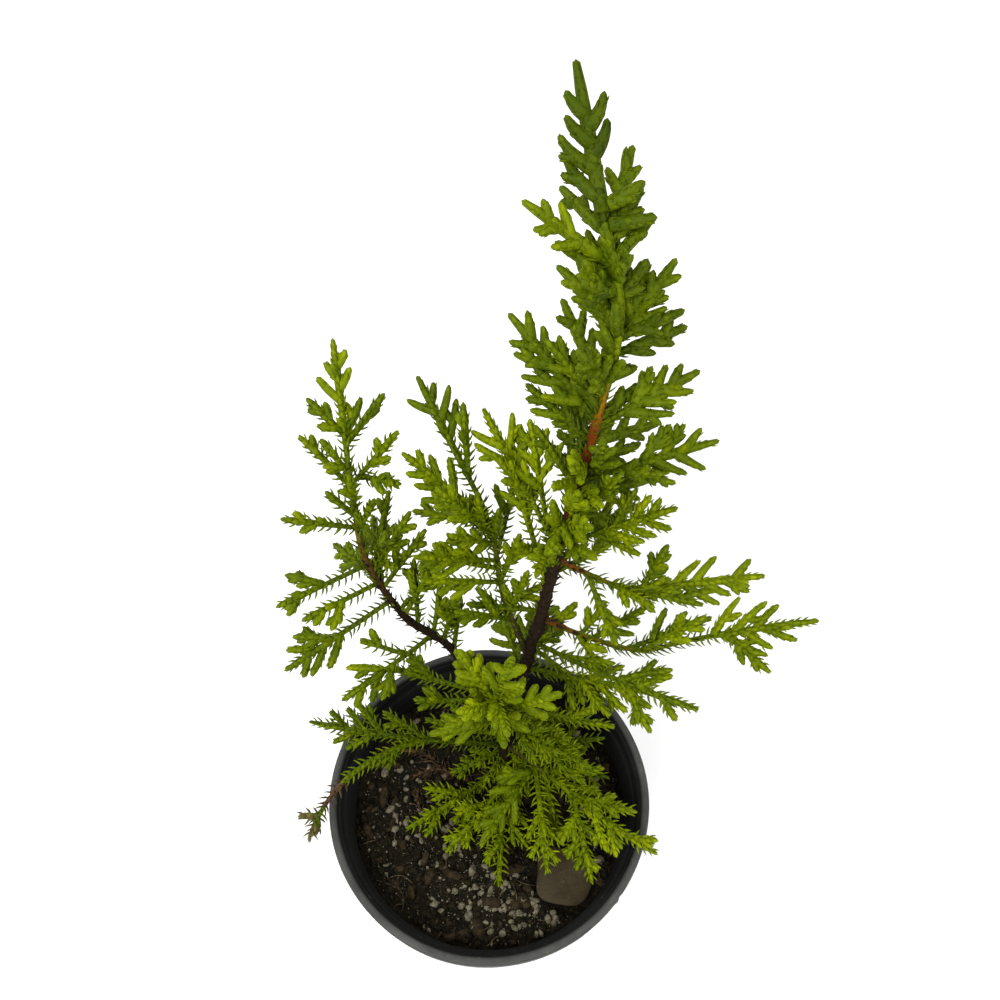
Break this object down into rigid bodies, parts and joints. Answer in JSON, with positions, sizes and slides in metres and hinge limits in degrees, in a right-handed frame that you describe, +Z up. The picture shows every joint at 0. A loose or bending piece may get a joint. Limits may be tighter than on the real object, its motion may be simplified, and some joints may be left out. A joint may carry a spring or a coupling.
{
  "type": "potted leyland cypress",
  "caption": "Young leyland cypress with flat feathery sprays on a leaning stem, in a round plastic nursery pot filled with soil, standing on the pot's flat underside.",
  "frame": {"origin": "centre of the pot's flat underside", "axes": "+Z up along the pot's axis, +Y away from the viewer, the way the stem leans, +X to the right"},
  "size_m": [0.1765, 0.1762, 0.287],
  "materials": {
    "pot_plastic": "satin",
    "potting_soil": "matte",
    "bark_chip": "matte",
    "bark": "matte",
    "foliage": "matte"
  },
  "bodies": {
    "root": {"pot": "pot_plastic", "soil": "potting_soil", "flat_chip": "bark_chip", "trunk": "bark", "left_bough": "bark", "middle_bough": "bark", "right_bough": "bark", "upper_right_bough": "bark", "front_bough": "bark", "low_right_bough": "bark", "leader_top": "foliage", "upper_left_3": "foliage", "upper_left_2": "foliage", "upper_right_2": "foliage", "near_top": "foliage", "upper_left_1": "foliage", "upper_right_1": "foliage", "right_high": "foliage", "right_middle": "foliage", "centre_high": "foliage", "centre_low": "foliage", "right_low": "foliage", "right_lower": "foliage", "right_lowest": "foliage", "front_right_1": "foliage", "front_right_4": "foliage", "front_middle": "foliage", "front_left": "foliage", "front_far_left": "foliage", "low_left": "foliage", "left_top": "foliage", "left_7": "foliage", "left_6": "foliage", "left_5": "foliage", "left_4": "foliage", "left_3": "foliage", "left_2": "foliage", "left_1": "foliage", "left_inner_3": "foliage", "left_inner_2": "foliage", "left_inner_1": "foliage", "middle_top": "foliage", "middle_4": "foliage", "middle_3": "foliage", "middle_2": "foliage", "middle_2b": "foliage", "middle_1": "foliage", "right_bough_top": "foliage", "right_bough_2": "foliage", "right_bough_1": "foliage", "upper_bough_top": "foliage", "front_top": "foliage", "front_3": "foliage", "front_2": "foliage", "front_1": "foliage", "back_1": "foliage", "back_2": "foliage", "back_3": "foliage", "back_4": "foliage", "back_5": "foliage"}
  },
  "joints": []
}
